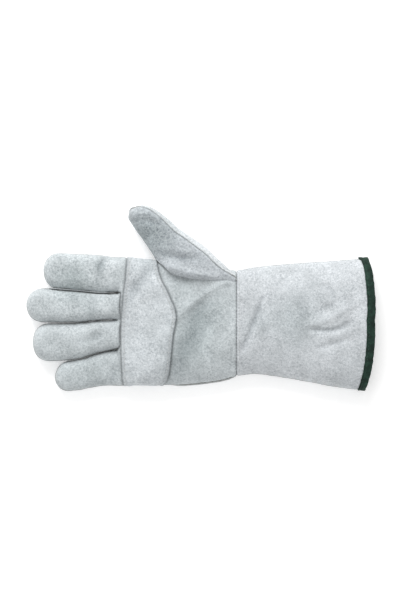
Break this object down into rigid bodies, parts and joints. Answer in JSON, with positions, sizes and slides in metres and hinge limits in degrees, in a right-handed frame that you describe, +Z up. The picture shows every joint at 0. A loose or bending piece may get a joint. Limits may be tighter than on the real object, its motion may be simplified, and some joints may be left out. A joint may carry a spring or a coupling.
{
  "type": "welding gauntlet",
  "caption": "Right-hand split-leather welding gauntlet lying palm up, with a palm patch, a welted thumb and a flared cuff bound with green tape; hollow and open at the cuff.",
  "frame": {"origin": "middle of the glove's bounding box, on the floor it lies on", "axes": "+X from the fingertips to the cuff's mouth, +Y towards the thumb's side, +Z up out of the palm"},
  "size_m": [0.3496, 0.1864, 0.0437],
  "materials": {
    "split_leather": "split suede, matt and napped",
    "patch_leather": "split suede, matt and napped",
    "cuff_leather": "split suede, matt and napped",
    "welt_leather": "split suede, matt and napped",
    "green_tape": "woven cotton bias tape"
  },
  "bodies": {
    "root": {"back_panel": "split_leather", "palm_panel": "split_leather", "middle_ring_front": "split_leather", "palm_patch": "patch_leather", "thumb_front": "split_leather", "thumb_back": "split_leather", "thumb_welt": "welt_leather", "cuff_front": "cuff_leather", "cuff_back": "cuff_leather", "cuff_binding": "green_tape"}
  },
  "joints": []
}
